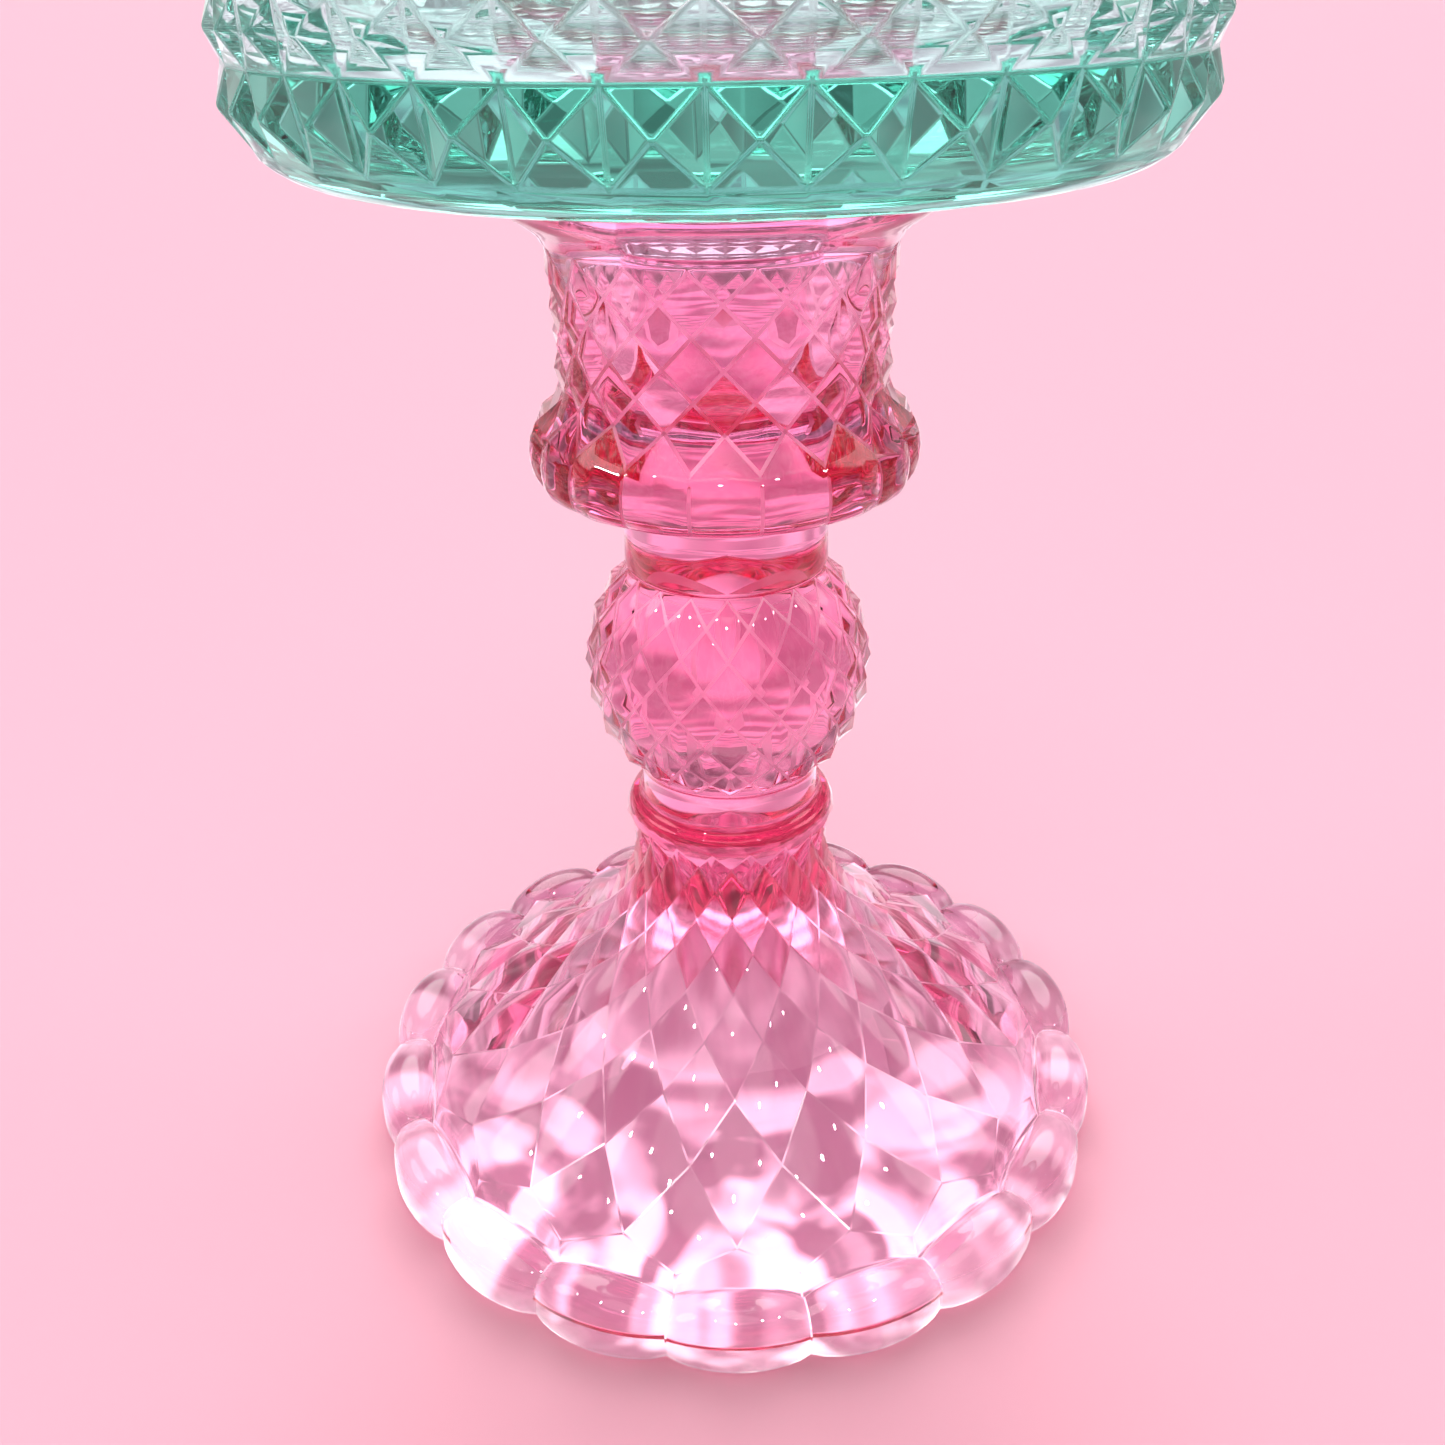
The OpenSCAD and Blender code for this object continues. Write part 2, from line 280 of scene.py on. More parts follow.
def fire_polish_group():
    """Faint waves and roughness of pressed glass, paler and rougher where it is frosted."""
    name = "Fire polish"
    if name in bpy.data.node_groups:
        return bpy.data.node_groups[name]
    group = bpy.data.node_groups.new(name, "ShaderNodeTree")
    face = group.interface
    for label, value in (("Wave size", WAVE_SIZE), ("Grain size", GRAIN_SIZE), ("Frost", 0.0)):
        socket = face.new_socket(name=label, in_out="INPUT", socket_type="NodeSocketFloat")
        socket.default_value = value
    face.new_socket(name="Tint", in_out="INPUT", socket_type="NodeSocketColor")
    face.new_socket(name="Color", in_out="OUTPUT", socket_type="NodeSocketColor")
    for label in ("Height", "Roughness"):
        face.new_socket(name=label, in_out="OUTPUT", socket_type="NodeSocketFloat")
    nodes, links = group.nodes, group.links
    inputs = nodes.new("NodeGroupInput")
    outputs = nodes.new("NodeGroupOutput")
    where = nodes.new("ShaderNodeTexCoord").outputs["Object"]
    waves = noise(nodes, links, where, WAVE_SIZE, detail=1.0)
    links.new(inputs.outputs["Wave size"], waves.inputs["Scale"])
    links.new(waves.outputs["Fac"], outputs.inputs["Height"])
    grain = noise(nodes, links, where, GRAIN_SIZE, detail=3.0)
    links.new(inputs.outputs["Grain size"], grain.inputs["Scale"])
    rough = spread(nodes, links, grain.outputs["Fac"], 0.45, 0.8, 0.0, 0.03, ease="LINEAR")
    frosted = nodes.new("ShaderNodeMath")
    frosted.operation = "MULTIPLY_ADD"
    frosted.inputs[1].default_value = FROST_ROUGHNESS
    links.new(inputs.outputs["Frost"], frosted.inputs[0])
    links.new(rough, frosted.inputs[2])
    links.new(frosted.outputs["Value"], outputs.inputs["Roughness"])
    pale = nodes.new("ShaderNodeMix")
    pale.data_type = "RGBA"
    links.new(inputs.outputs["Frost"], pale.inputs["Factor"])
    links.new(inputs.outputs["Tint"], pale.inputs["A"])
    pale.inputs["B"].default_value = FROST_TINT
    links.new(pale.outputs["Result"], outputs.inputs["Color"])
    return group


def glass(name, tint, inside, depth, index):
    """Clear glass coloured by its surface, and by its depth unless that is 0."""
    mat = bpy.data.materials.new(name)
    mat.use_nodes = True
    nodes, links = mat.node_tree.nodes, mat.node_tree.links
    nodes.clear()
    out = nodes.new("ShaderNodeOutputMaterial")
    body = nodes.new("ShaderNodeBsdfPrincipled")
    body.inputs["Base Color"].default_value = tint
    body.inputs["Transmission Weight"].default_value = 1.0
    body.inputs["IOR"].default_value = index
    body.inputs["Metallic"].default_value = 0.0
    polish = nodes.new("ShaderNodeGroup")
    polish.node_tree = fire_polish_group()
    polish.inputs["Tint"].default_value = tint
    frost = nodes.new("ShaderNodeAttribute")
    frost.attribute_name = "frost"
    links.new(frost.outputs["Fac"], polish.inputs["Frost"])
    links.new(polish.outputs["Color"], body.inputs["Base Color"])
    links.new(polish.outputs["Roughness"], body.inputs["Roughness"])
    bump = nodes.new("ShaderNodeBump")
    bump.inputs["Strength"].default_value = 1.0
    bump.inputs["Distance"].default_value = WAVE_HEIGHT
    links.new(polish.outputs["Height"], bump.inputs["Height"])
    links.new(bump.outputs["Normal"], body.inputs["Normal"])
    links.new(body.outputs["BSDF"], out.inputs["Surface"])
    if depth > 0:
        fog = nodes.new("ShaderNodeVolumeAbsorption")
        fog.inputs["Color"].default_value = inside
        fog.inputs["Density"].default_value = depth
        links.new(fog.outputs["Volume"], out.inputs["Volume"])
    return mat


# ---- candlestick ------------------------------------------------------------

# A row is (radius, height, kind, how far it stands out sideways and upwards, phase). Diamonds
# stand out along the row's normal, by the first of the two. Grooves cross at the columns whose
# number plus the phase is even. A row whose phase is None has no crossings, but it can have
# valleys between its panels or lobes.
ROUND, DIAMOND, PANEL, LOBE = "round", "diamond", "panel", "lobe"
HOLLOW_STEPS = 28
LOBE_POWER = 0.8            # how full a lobe is: 0.5 is an ellipse, 1 a parabola
GROOVES = [
    # on the stem, half-width, frost
    (False, 0.16 * MM, 0.2),
    (True, 0.26 * MM, 0.4),
]
HOLLOW_FROST, LIP_FROST, REST_FROST = 0.25, 0.5, 1.0


def round_rows(points):
    """Rows that are true circles, from points of (radius, height)."""
    return [(r, z, ROUND, (0.0, 0.0), None) for r, z in points]


def arc(cx, cz, radius, start, end, steps):
    """Points on an arc in the (radius, height) plane, with angles in degrees."""
    return [(cx + radius * math.cos(math.radians(start + (end - start) * k / steps)),
             cz + radius * math.sin(math.radians(start + (end - start) * k / steps)))
            for k in range(steps + 1)]


def hollow_rows(foot):
    """Underside of the foot, from the pole out to the ring it stands on."""
    hollow_r = foot.radius - foot.rest_width
    rows = []
    for k in range(HOLLOW_STEPS + 1):
        s = k / HOLLOW_STEPS
        rows.append((hollow_r * s,
                     max(foot.hollow_height * (1 - s ** 1.5) ** 1.37, SKIN_GAP)))
    rows.append((hollow_r + foot.rest_width / 2, SKIN_GAP))
    return round_rows(rows)


def rim_rows(foot):
    """Lobes around the foot, from the table, over the top and through the groove behind."""
    r, h, out, up = foot.radius - SKIN_GAP, foot.rim_height, foot.lobe_out, foot.lobe_up
    table = [
        # inwards from the rim, share of lobe_out, height, share of lobe_up
        (0.9, 0.92, SKIN_GAP, 0.0),
        (0.2, 0.98, 0.5 * MM, 0.0),
        (0.0, 1.00, 1.4 * MM, 0.0),
        (0.0, 0.99, 0.42 * h, 0.30),
        (0.1, 0.94, 0.64 * h, 0.58),
        (0.5, 0.84, 0.80 * h, 0.79),
        (1.1, 0.66, 0.91 * h, 0.93),
        (2.0, 0.42, 0.97 * h, 1.00),
        (3.0, 0.10, 1.00 * h, 1.00),
        (4.0, -0.22, 1.00 * h, 0.90),
        (4.8, -0.45, 0.98 * h, 0.70),
        (5.4, -0.60, 0.88 * h, 0.42),
        (5.8, -0.64, 0.74 * h, 0.22),
        (6.3, -0.62, 0.88 * h, 0.32),
    ]
    return [(r - back * MM, z, LOBE, (share * out, lift * up), None)
            for back, share, z, lift in table]


def skirt_rows(stick, foot):
    """Diamonds of the foot, from the groove up to the ledge."""
    half_rows = 8
    low_r, low_z = foot.radius - 10.8 * MM, foot.rim_height + 4.1 * MM
    top_r, top_z = stick.waist_radius + 0.8 * MM, foot.height - 5.9 * MM
    rows = [(foot.radius - 7.4 * MM, foot.rim_height + 2.0 * MM, LOBE,
             (-0.3 * foot.lobe_out, 0.0), 1)]
    for k in range(half_rows, -1, -1):
        t = k / half_rows
        rows.append((top_r + (low_r - top_r) * t ** 2.35,
                     top_z + (low_z - top_z) * t + 2.2 * MM * math.sin(math.pi * t),
                     DIAMOND, (stick.relief * (0.9 + 1.1 * t), 0.0), k % 2))
    return rows


def waist_rows(stick, foot):
    """Ledge on top of the foot, and the waist under the ball."""
    r, z, w = foot.ledge_radius, foot.height, stick.waist_radius
    rows = [(r + 0.2 * MM, z - 2.4 * MM, DIAMOND, (0.35 * MM, 0.0), 1)]
    rows += round_rows([(r - 0.1 * MM, z - 1.1 * MM), (r - 0.4 * MM, z - 0.5 * MM),
                        (r - 0.8 * MM, z - 0.1 * MM), (r - 1.4 * MM, z + 0.05 * MM),
                        (w + 0.7 * MM, z + 0.25 * MM), (w + 0.25 * MM, z + 0.7 * MM),
                        (w, z + 1.5 * MM), (w - 0.1 * MM, z + 3.5 * MM),
                        (w, z + stick.waist_height - 1.2 * MM)])
    return rows


def ball_rows(stick, z_ball):
    """Diamonds of the ball."""
    half_rows = 8
    skin = stick.ball_radius + 0.6 * MM
    middle = z_ball + stick.ball_height / 2
    span = math.asin(stick.ball_height / 2 / skin)
    rows = []
    for k in range(half_rows + 1):
        a = span * (2 * k / half_rows - 1)
        end = k in (0, half_rows)
        r = skin if end else stick.ball_radius
        rows.append((r * math.cos(a), middle + skin * math.sin(a),
                     ROUND if end else DIAMOND,
                     (0.0 if end else stick.relief * 0.85, 0.0), k % 2))
    return rows


def neck_rows(stick, z_neck, z_bulge):
    """Plain neck above the ball, and the flare under the bulge."""
    r = stick.neck_radius
    return round_rows([
        (r - 0.2 * MM, z_neck + 0.5 * MM), (r, z_neck + 1.2 * MM),
        (r - 0.15 * MM, z_neck + 4.5 * MM), (r, z_bulge - 5.0 * MM),
        (r + 0.4 * MM, z_bulge - 3.6 * MM), (r + 1.2 * MM, z_bulge - 2.6 * MM),
        (r + 2.6 * MM, z_bulge - 2.0 * MM), (stick.bulge_radius - 5.0 * MM, z_bulge - 1.2 * MM)])


def bulge_rows(stick, z_bulge):
    """Pointed panels, from their lower edge up to their shoulders."""
    r, h = stick.bulge_radius, stick.bulge_height
    table = [
        # inwards, share of the height, how far the middle of a panel stands out
        (2.6, -0.055, 0.2), (1.7, -0.01, 0.45), (1.1, 0.05, 0.6), (0.75, 0.14, 0.75),
        (0.6, 0.26, 0.85), (0.7, 0.40, 1.0), (1.2, 0.54, 1.2)]
    rows = [(r - back * MM, z_bulge + share * h, PANEL, (out * MM, 0.0), None)
            for back, share, out in table]
    return rows + [(r - 2.1 * MM, z_bulge + 0.65 * h, DIAMOND, (1.5 * MM, 0.0), 1)]


def cup_rows(stick, z_cup):
    """Diamonds of the cup."""
    half_rows = 5
    rows = []
    for k in range(half_rows + 1):
        t = k / half_rows
        end = k == half_rows
        rows.append((stick.cup_radius + 1.4 * MM * t ** 6, z_cup + t * stick.cup_height,
                     ROUND if end else DIAMOND,
                     (0.0 if end else stick.relief, 0.0), k % 2))
    return rows


def lip_rows(stick, z_lip, top):
    """Flare, rounded lip, and the candle socket down to its pole."""
    r, cup = stick.lip_radius - SKIN_GAP, stick.cup_radius
    bottom = stick.socket_bottom
    floor = top - stick.socket_depth
    outside = [(cup + 1.75 * MM, z_lip + 0.5 * MM), (cup + 2.2 * MM, z_lip + 1.3 * MM),
               (cup + 3.3 * MM, z_lip + 2.3 * MM), (cup + 4.8 * MM, z_lip + 3.3 * MM),
               (r - 0.9 * MM, z_lip + 4.4 * MM), (r - 0.25 * MM, z_lip + 5.5 * MM),
               (r, z_lip + 6.8 * MM), (r, top - 1.3 * MM)]
    outside += arc(r - 1.0 * MM, top - 1.0 * MM, 1.0 * MM, 15, 90, 5)
    mouth = stick.socket_radius
    outside += [(mouth + 6 * MM, top), (mouth + 1.0 * MM, top)]
    outside += [(mouth + 0.3 * MM, top - 0.3 * MM), (mouth, top - 1.0 * MM)]
    steps = 8
    wall = [(mouth + (bottom - mouth) * k / steps,
             top - 1.0 * MM + (floor + bottom - top + 1.0 * MM) * k / steps)
            for k in range(1, steps + 1)]
    ball = [(bottom * math.cos(a), floor + bottom - bottom * math.sin(a))
            for a in (math.pi / 2 * k / 10 for k in range(1, 11))]
    return round_rows(outside + wall + ball)


def stick_shape(rows, columns):
    """How each row stands out at an angle: returns a function of (row, column, angle)."""
    def outward(i):
        a, b = rows[max(i - 1, 0)], rows[min(i + 1, len(rows) - 1)]
        d = Vector((b[0] - a[0], b[1] - a[1])).normalized()
        return d[1], -d[0]

    def shape(i, column, angle):
        r, z, kind, gain, phase = rows[i]
        sector = FULL_TURN / columns
        u = ((angle / sector + 0.5) % 1.0 - 0.5) * 2        # -1 to 1 across one sector
        if kind == DIAMOND:
            raised = (column + phase) % 2
            nr, nz = outward(i)
            return r + raised * gain[0] * nr, z + raised * gain[0] * nz
        if kind == PANEL:
            return r + gain[0] * (1 - u * u), z
        if kind == LOBE:
            c = (1 - min(u * u, 1.0)) ** LOBE_POWER
            return r + gain[0] * c, z + gain[1] * c
        return r, z
    return shape


class MESH_OT_candlestick(bpy.types.Operator):
    """Add the pressed pink candlestick"""
    bl_idname = "mesh.candy_dish_candlestick"
    bl_label = "Candlestick"

    def execute(self, context):
        stick, foot = context.scene.dish_stick, context.scene.dish_foot
        colours = context.scene.dish_glass
        z_ball = foot.height + stick.waist_height
        z_neck = z_ball + stick.ball_height
        z_bulge = z_neck + stick.neck_height
        z_cup = z_bulge + stick.bulge_height
        z_lip = z_cup + stick.cup_height
        top = STICK_HIGH.z - SKIN_GAP
        rows = (hollow_rows(foot) + rim_rows(foot) + skirt_rows(stick, foot)
                + waist_rows(stick, foot) + ball_rows(stick, z_ball)
                + neck_rows(stick, z_neck, z_bulge) + bulge_rows(stick, z_bulge)
                + cup_rows(stick, z_cup) + lip_rows(stick, z_lip, top))
        columns = 2 * stick.columns
        bm, row_of = turned_skin(rows, columns)

        def row(v):
            return round(v[row_of])

        def is_crossing(v):
            phase = rows[row(v)][4]
            return phase is not None and (column_of(v, columns) + phase) % 2 == 0

        bmesh.ops.connect_verts(bm, verts=[v for v in bm.verts if is_crossing(v)])
        cut_round(bm, row_of, lambda i: rows[i][2] != DIAMOND)
        shape = stick_shape(rows, stick.columns)
        for v in bm.verts:
            place(v, *shape(row(v), column_of(v, columns), angle_of(v)))
        bmesh.ops.recalc_face_normals(bm, faces=bm.faces)

        def is_cut(e):
            """Grooves between the diamonds, and the valleys between two panels or lobes."""
            if not all(on_column(v, columns) for v in e.verts):
                return False
            kinds = {rows[row(v)][2] for v in e.verts}
            if DIAMOND in kinds:
                return all(is_crossing(v) for v in e.verts)
            return ROUND not in kinds and all(column_of(v, columns) % 2 for v in e.verts)

        for on_stem, half_width, frost in GROOVES:
            cut = [e for e in bm.edges
                   if (e.verts[0].co.z > foot.height) == on_stem and is_cut(e)]
            grooves = bmesh.ops.bevel(bm, geom=cut, offset=half_width, offset_type="OFFSET",
                                      segments=1, profile=0.5, affect="EDGES", material=-1,
                                      clamp_overlap=True)
            mark_frost(bm, grooves["faces"], frost)
            for e in {e for f in grooves["faces"] for e in f.edges}:
                e.smooth = False
        bonded = [f for f in bm.faces if all(v.co.z > top - 0.05 * MM for v in f.verts)]
        mark_frost(bm, bonded, LIP_FROST)
        rested = [f for f in bm.faces if all(v.co.z < 0.6 * MM for v in f.verts)]
        mark_frost(bm, rested, REST_FROST)
        apex = [f for f in bm.faces if all(row(v) < HOLLOW_STEPS // 2 for v in f.verts)]
        mark_frost(bm, apex, HOLLOW_FROST)
        material = glass("pink_glass", colours.pink, colours.pink_inside, colours.pink_depth,
                         colours.index)
        finish_piece(bm, "candlestick_glass", material, "candlestick", slot="pink_glass")
        return {"FINISHED"}


# ---- bowl -------------------------------------------------------------------

def bowl_rows(bowl, low, high):
    """Rows of the bowl from the pole under it, round the outside, to the pole of its floor.
    A row is (radius, height, whether pyramids stand between it and the next row)."""
    r = bowl.radius
    rows = [(x, low, False) for x in (0.0, 0.3 * r, 0.6 * r)]
    edge_end = 33                       # degrees below level where the pyramids begin
    edge = arc(r - bowl.corner, low + bowl.corner, bowl.corner, -90, -edge_end, 6)
    rows += [(x, z, False) for x, z in edge[:-1]]
    x, z = edge[-1]
    rows.append((x - 0.2 * MM, z, True))
    first = low + bowl.floor
    for k in range(bowl.rows + 1):
        rows.append((r, first + k * bowl.row_height, k < bowl.rows))
    band = first + bowl.rows * bowl.row_height
    out = r + 0.5 * MM
    rows += [(r + 0.3 * MM, band + 0.25 * MM, False), (out, band + 0.8 * MM, False),
             (out, high - 4.5 * MM, False)]
    rim = 1.4 * MM
    rows += [(x, z, False) for x, z in arc(out - rim, high - rim, rim, 0, 90, 6)]
    inner = r - bowl.wall
    rows += [(x, z, False) for x, z in arc(inner + rim, high - rim, rim, 90, 180, 6)]
    corner = bowl.inner_corner
    steps = 6
    start, end = high - rim, first + corner
    rows += [(inner, start + (end - start) * k / steps, False) for k in range(1, steps)]
    rows += [(x, z, False) for x, z in arc(inner - corner, first + corner, corner, 0, -90, 8)]
    rows += [(x, first, False) for x in (0.6 * r, 0.3 * r, 0.0)]
    return rows


BOWL_EDGE, BOWL_EDGE_FROST_AND_SHEEN = 0.35 * MM, 0.18    # half-width, and frost with a painted sheen, of a facet's edge


class MESH_OT_candy_bowl(bpy.types.Operator):
    """Add the pressed teal bowl"""
    bl_idname = "mesh.candy_dish_bowl"
    bl_label = "Bowl"

    def execute(self, context):
        bowl, colours = context.scene.dish_bowl, context.scene.dish_glass
        rows = bowl_rows(bowl, BOWL_LOW.z + SKIN_GAP, BOWL_HIGH.z - SKIN_GAP)
        bm, row_of = turned_skin(rows, bowl.columns)

        def row(v):
            return round(v[row_of])

        cells = [f for f in bm.faces
                 if rows[min(row(v) for v in f.verts)][2]
                 and max(row(v) for v in f.verts) == min(row(v) for v in f.verts) + 1]
        bmesh.ops.recalc_face_normals(bm, faces=bm.faces)
        poked = bmesh.ops.poke(bm, faces=cells, offset=0.0, center_mode="MEAN_WEIGHTED")
        for v in poked["verts"]:
            v[row_of] = TIP
        cut_round(bm, row_of, lambda i: i != TIP and not rows[i][2])

        def is_tip(v):
            return row(v) == TIP

        def is_corner(v):
            return not is_tip(v) and (rows[row(v)][2] or rows[max(row(v) - 1, 0)][2])

        for v in bm.verts:
            if is_tip(v):
                place(v, bowl.radius + bowl.relief, v.co.z, bowl.turn)
            else:
                place(v, rows[row(v)][0], rows[row(v)][1], bowl.turn)
        bmesh.ops.recalc_face_normals(bm, faces=bm.faces)
        cut = [e for e in bm.edges if any(is_tip(v) for v in e.verts)
               or all(is_corner(v) for v in e.verts)]
        edges = bmesh.ops.bevel(bm, geom=cut, offset=BOWL_EDGE, offset_type="OFFSET",
                                segments=2, profile=0.5, affect="EDGES", material=-1,
                                clamp_overlap=True)
        # the edges are rougher, and paler by a painted sheen of light along the ridges
        mark_frost(bm, edges["faces"], BOWL_EDGE_FROST_AND_SHEEN)
        material = glass("teal_glass", colours.teal, colours.teal_inside, colours.teal_depth,
                         colours.index)
        piece = finish_piece(bm, "bowl_glass", material, "candy_bowl", slot="teal_glass")
        weight_normals(piece)
        return {"FINISHED"}


# ---- adhesive ---------------------------------------------------------------

CLEAR = (1.0, 1.0, 1.0, 1.0)
GLUE_HOLE = 15.0 * MM       # radius of the hole in the film
GLUE_GAP = 0.02 * MM        # how far the film's two faces stay inside its solid
GLUE_SIDES = 144            # sides of the film's circle
GLUE_INDEX = 1.47


class MESH_OT_glue_bead(bpy.types.Operator):
    """Add the clear adhesive between the lip and the bowl"""
    bl_idname = "mesh.candy_dish_glue"
    bl_label = "Adhesive"

    def execute(self, context):
        inner, outer = GLUE_HOLE, GLUE_HIGH.x
        low, high = GLUE_LOW.z, GLUE_HIGH.z
        middle, half = (low + high) / 2, (high - low) / 2 - GLUE_GAP
        rows = [(inner, middle - half), (outer - half, middle - half)]
        rows += arc(outer - half, middle, half, -60, 60, 4)
        rows += [(outer - half, middle + half), (inner, middle + half), (inner, middle - half)]
        bm, _ = turned_skin(rows, GLUE_SIDES)
        material = glass("clear_adhesive", CLEAR, CLEAR, 0.0, GLUE_INDEX)
        finish_piece(bm, "glue_bead", material, "glue_ring", slot="clear_adhesive")
        return {"FINISHED"}


# ---- stage ------------------------------------------------------------------

def painted_patches_of_light(nodes, links, where):
    """Painted light for the floor behind the glass: painted patches that stand in for the light
    the glass gathers under the foot, brighter towards the front, and painted uneven light on the
    rest of the floor."""
    under_foot = noise(nodes, links, where, scale=75.0, detail=1.5, distortion=1.2)
    painted_gathered_light = spread(nodes, links, under_foot.outputs["Fac"], 0.42, 0.64, 0.20, 1.30)
    split = nodes.new("ShaderNodeSeparateXYZ")
    links.new(where, split.inputs[0])
    # painted light: the glow is brighter towards the front of the floor
    painted_front_light = spread(nodes, links, split.outputs["Y"], -60 * MM, 20 * MM, 1.75, 0.60)
    near = combine(nodes, links, "MULTIPLY", painted_gathered_light, painted_front_light)
    rest_of_floor = noise(nodes, links, where, scale=9.0, detail=0.0)
    far = spread(nodes, links, rest_of_floor.outputs["Fac"], 0.38, 0.62, 0.12, 0.85)
    away = nodes.new("ShaderNodeVectorMath")
    away.operation = "LENGTH"
    links.new(where, away.inputs[0])
    painted_glow = nodes.new("ShaderNodeMix")
    links.new(spread(nodes, links, away.outputs["Value"], 55 * MM, 85 * MM, 0.0, 1.0),
              painted_glow.inputs["Factor"])
    links.new(near, painted_glow.inputs["A"])
    links.new(far, painted_glow.inputs["B"])
    return painted_glow.outputs["Result"]


def floor_material(seen, through):
    """Matt floor, plain where it is seen directly. Through the glass, in its reflections, and as
    light, it is a darker copy that glows with painted patches of light, in place of the light
    pressed glass gathers."""
    mat = bpy.data.materials.new("pale_floor")
    mat.use_nodes = True
    nodes, links = mat.node_tree.nodes, mat.node_tree.links
    nodes.clear()
    out = nodes.new("ShaderNodeOutputMaterial")
    path = nodes.new("ShaderNodeLightPath")
    mix = nodes.new("ShaderNodeMixShader")
    links.new(path.outputs["Is Camera Ray"], mix.inputs[0])
    bodies = []
    for socket, tint in ((1, through), (2, seen)):
        body = nodes.new("ShaderNodeBsdfPrincipled")
        body.inputs["Base Color"].default_value = tint
        body.inputs["Roughness"].default_value = 0.9
        body.inputs["Specular IOR Level"].default_value = 0.1
        links.new(body.outputs["BSDF"], mix.inputs[socket])
        bodies.append(body)
    where = nodes.new("ShaderNodeTexCoord").outputs["Object"]
    # the floor behind the glass glows with painted light, though it is no lamp
    bodies[0].inputs["Emission Strength"].default_value = 1.0
    links.new(painted_patches_of_light(nodes, links, where), bodies[0].inputs["Emission Color"])
    links.new(mix.outputs["Shader"], out.inputs["Surface"])
    return mat


def softbox(nodes, links, where, direction, width, strength):
    """Brightness of a round softbox seen in that direction, with soft edges."""
    dot = nodes.new("ShaderNodeVectorMath")
    dot.operation = "DOT_PRODUCT"
    links.new(where, dot.inputs[0])
    dot.inputs[1].default_value = Vector(direction).normalized()
    outer, inner = (math.cos(math.radians(width * k)) for k in (1.25, 0.85))
    return spread(nodes, links, dot.outputs["Value"], outer, inner, 0.0, strength)


SOFTBOXES = [
    # direction, half-width in degrees, brightness
    ((0.0, 0.6, 0.8), 25, 4.5),
    ((-1.0, 0.1, 0.8), 14, 3.0),
    ((1.0, 0.2, 0.7), 14, 2.5),
    ((0.0, -0.4, 1.0), 18, 1.5),
]
SPARKLE = [(-3, 42), (-38, 50), (36, 47), (-74, 40), (72, 44)]  # azimuth, elevation of lamps
SPARKLE_SIZE, SPARKLE_WATTS = 16 * MM, 0.3
SPARKLE_HEIGHT, SPARKLE_DISTANCE = 80 * MM, 420 * MM    # of their centre, and from it
SIDEWAYS = 60               # lamps past this azimuth also shine through the glass
HORIZON, ZENITH = 0.72, 0.35        # brightness of the room's walls and ceiling
BACKDROP = (1.0, 0.64, 0.76, 1.0)   # pale paper behind the dish


def studio_world():
    """Plain paper where it is seen directly. In the glass and through it, and as light, it is
    an uneven pale room with softboxes high up."""
    world = bpy.data.worlds.new("studio")
    bpy.context.scene.world = world
    world.use_nodes = True
    nodes, links = world.node_tree.nodes, world.node_tree.links
    nodes.clear()
    where = nodes.new("ShaderNodeTexCoord").outputs["Generated"]
    split = nodes.new("ShaderNodeSeparateXYZ")
    links.new(where, split.inputs[0])
    room = spread(nodes, links, split.outputs["Z"], 0.1, 0.75, HORIZON, ZENITH)
    objects = noise(nodes, links, where, scale=4.0, detail=1.0)
    uneven = spread(nodes, links, objects.outputs["Fac"], 0.40, 0.62, 0.45, 1.45)
    total = combine(nodes, links, "MULTIPLY", room, uneven)
    for direction, width, strength in SOFTBOXES:
        box = softbox(nodes, links, where, direction, width, strength)
        total = combine(nodes, links, "ADD", total, box)
    light = nodes.new("ShaderNodeBackground")
    light.inputs["Color"].default_value = (1, 1, 1, 1)
    links.new(total, light.inputs["Strength"])
    backdrop = nodes.new("ShaderNodeBackground")
    backdrop.inputs["Color"].default_value = BACKDROP
    path = nodes.new("ShaderNodeLightPath")
    mix = nodes.new("ShaderNodeMixShader")
    links.new(path.outputs["Is Camera Ray"], mix.inputs[0])
    links.new(light.outputs["Background"], mix.inputs[1])
    links.new(backdrop.outputs["Background"], mix.inputs[2])
    out = nodes.new("ShaderNodeOutputWorld")
    links.new(mix.outputs["Shader"], out.inputs["Surface"])


def add_floor(stage):
    """Round floor under the foot."""
    bm = bmesh.new()
    bmesh.ops.create_circle(bm, cap_ends=True, segments=64, radius=stage.floor_radius)
    mesh = bpy.data.meshes.new("floor")
    bm.to_mesh(mesh)
    bm.free()
    mesh.materials.append(floor_material(stage.floor_colour, stage.floor_through))
    floor = bpy.data.objects.new("floor", mesh)
    bpy.context.scene.collection.objects.link(floor)


def add_sparkle():
    """Small lamps that make glints on the glass and light nothing matt."""
    for i, (azimuth, elevation) in enumerate(SPARKLE):
        lamp = bpy.data.lights.new("sparkle_%d" % i, "AREA")
        lamp.shape = "DISK"
        lamp.size = SPARKLE_SIZE
        lamp.energy = SPARKLE_WATTS
        holder = bpy.data.objects.new(lamp.name, lamp)
        bpy.context.scene.collection.objects.link(holder)
        a, e = math.radians(azimuth), math.radians(elevation)
        away = Vector((math.sin(a) * math.cos(e), -math.cos(a) * math.cos(e), math.sin(e)))
        holder.location = Vector((0, 0, SPARKLE_HEIGHT)) + SPARKLE_DISTANCE * away
        holder.rotation_euler = away.to_track_quat("Z", "Y").to_euler()
        holder.visible_camera = False
        holder.visible_diffuse = False
        holder.visible_transmission = abs(azimuth) > SIDEWAYS


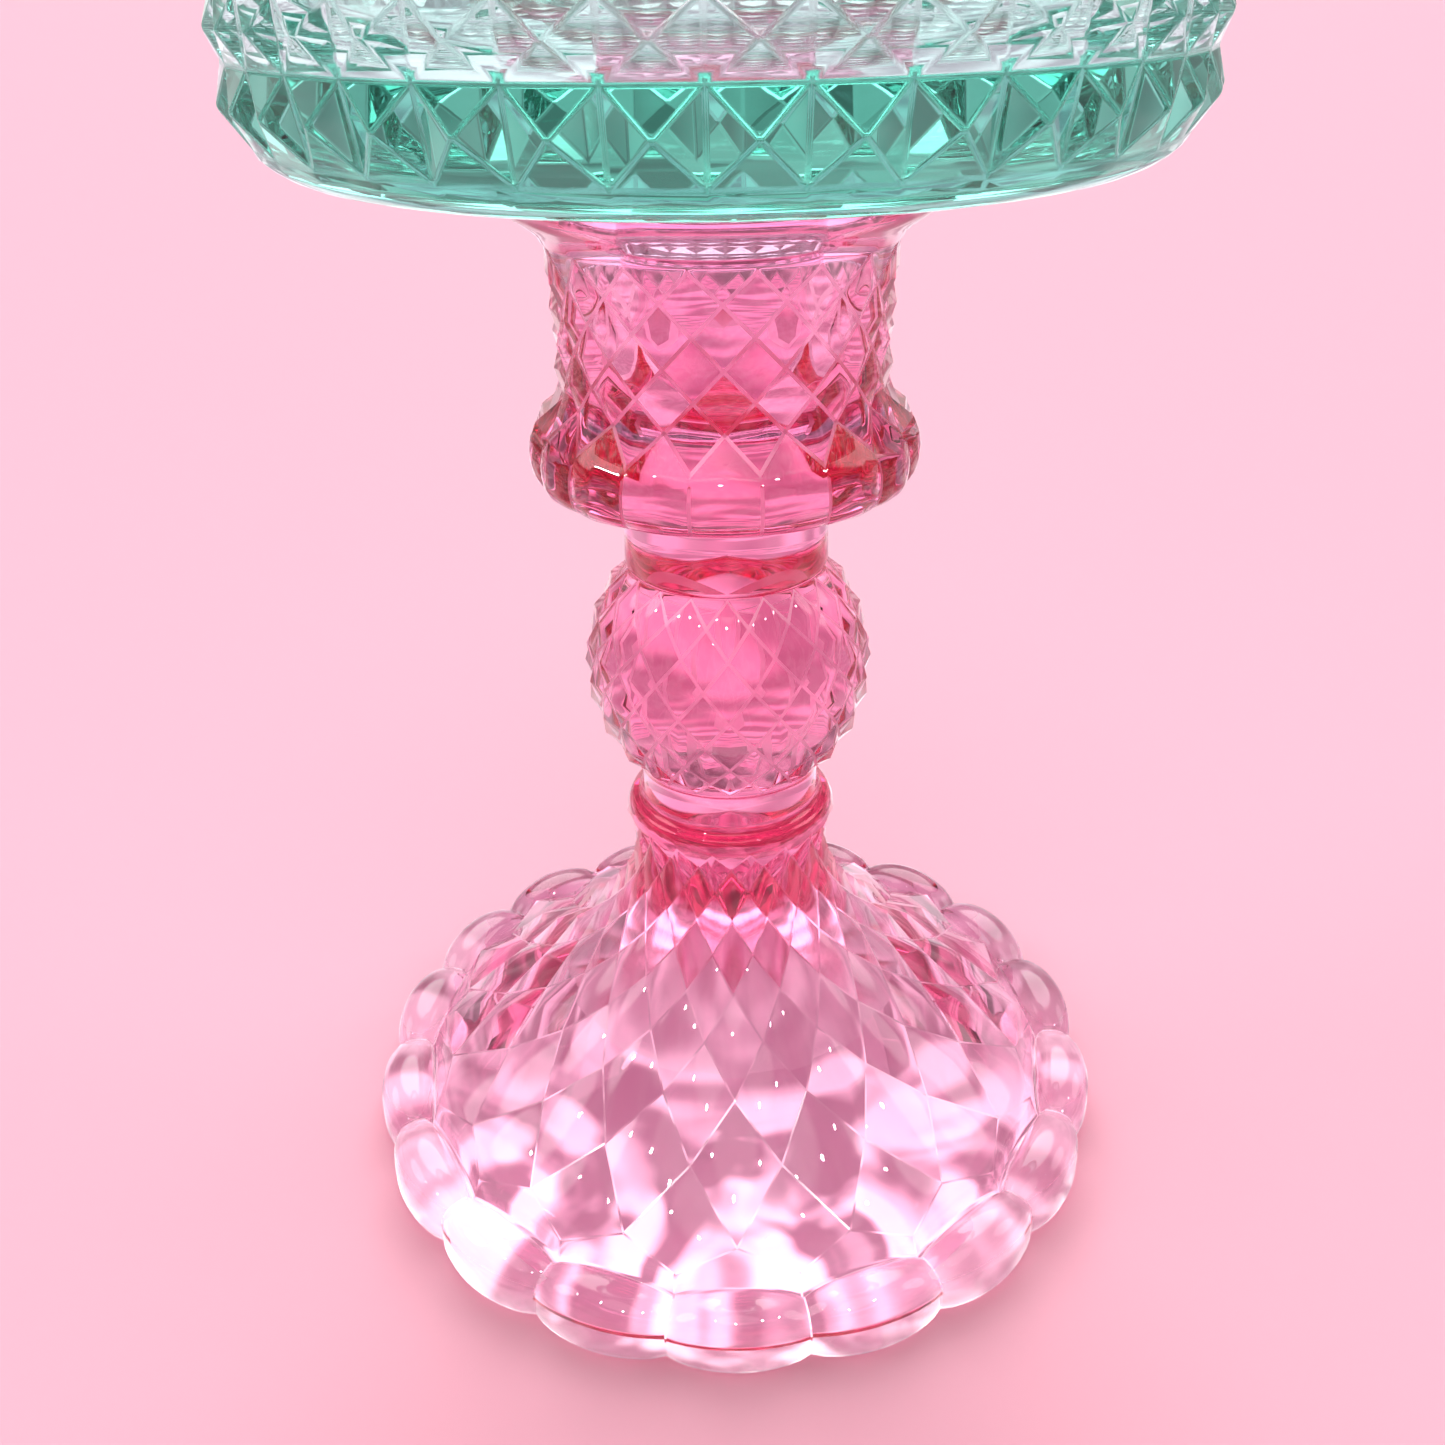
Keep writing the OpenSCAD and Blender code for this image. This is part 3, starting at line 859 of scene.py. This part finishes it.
def camera_axes(yaw, pitch, roll):
    """Turn of a camera that looks along +Y before its yaw, pitch and roll."""
    s, c = math.sin(yaw), math.cos(yaw)
    sp, cp = math.sin(pitch), math.cos(pitch)
    right = Vector((c, -s, 0))
    ahead = Vector((s * cp, c * cp, -sp))
    up = Vector((s * sp, c * sp, cp))
    sr, cr = math.sin(roll), math.cos(roll)
    turned_right = cr * right + sr * up
    turned_up = -sr * right + cr * up
    return Matrix((turned_right, turned_up, -ahead)).transposed()


def add_camera(stage):
    """Camera in front of the dish, looking down on its foot."""
    camera_data = bpy.data.cameras.new("camera")
    camera_data.sensor_width = 36.0
    camera_data.lens = stage.lens
    camera_data.clip_start = 0.005
    camera = bpy.data.objects.new("camera", camera_data)
    bpy.context.scene.collection.objects.link(camera)
    axes = camera_axes(stage.camera_yaw, stage.camera_pitch, stage.camera_roll)
    camera.matrix_world = Matrix.Translation(
        (0, -stage.camera_distance, stage.camera_height)) @ axes.to_4x4()
    bpy.context.scene.camera = camera


class SCENE_OT_studio(bpy.types.Operator):
    """Add the floor, the light and the camera"""
    bl_idname = "scene.candy_dish_studio"
    bl_label = "Studio"

    def execute(self, context):
        stage = context.scene.dish_stage
        add_floor(stage)
        studio_world()
        add_sparkle()
        add_camera(stage)
        cycles = context.scene.cycles
        cycles.max_bounces = 24
        cycles.transmission_bounces = 24
        cycles.glossy_bounces = 12
        cycles.transparent_max_bounces = 32
        context.scene.view_settings.view_transform = "Standard"
        return {"FINISHED"}


# ---- add-on -----------------------------------------------------------------

class VIEW3D_PT_candy_dish(bpy.types.Panel):
    """Buttons that build the dish, and its sizes and colours"""
    bl_label = "Candy Dish"
    bl_space_type = "VIEW_3D"
    bl_region_type = "UI"
    bl_category = "Candy Dish"

    def draw(self, context):
        for name in STEPS:
            self.layout.operator(name)
        for group in GROUPS:
            box = self.layout.box()
            settings = getattr(context.scene, group)
            for prop in settings.bl_rna.properties:
                if prop.identifier not in ("rna_type", "name"):
                    box.prop(settings, prop.identifier)


GROUPS = {"dish_bowl": BowlSizes, "dish_stick": StickSizes, "dish_foot": FootSizes,
          "dish_glass": GlassColours, "dish_stage": StageSizes}
OPERATORS = (MESH_OT_candlestick, MESH_OT_glue_bead, MESH_OT_candy_bowl, SCENE_OT_studio)
STEPS = [operator.bl_idname for operator in OPERATORS]
CLASSES = (*GROUPS.values(), *OPERATORS, VIEW3D_PT_candy_dish)


def register():
    for cls in CLASSES:
        bpy.utils.register_class(cls)
    for name, cls in GROUPS.items():
        setattr(bpy.types.Scene, name, PointerProperty(type=cls))


def unregister():
    for name in GROUPS:
        delattr(bpy.types.Scene, name)
    for cls in reversed(CLASSES):
        bpy.utils.unregister_class(cls)


def main():
    register()
    for step in STEPS:
        category, name = step.split(".")
        getattr(getattr(bpy.ops, category), name)()
    bpy.context.view_layer.update()


if __name__ == "__main__":
    main()
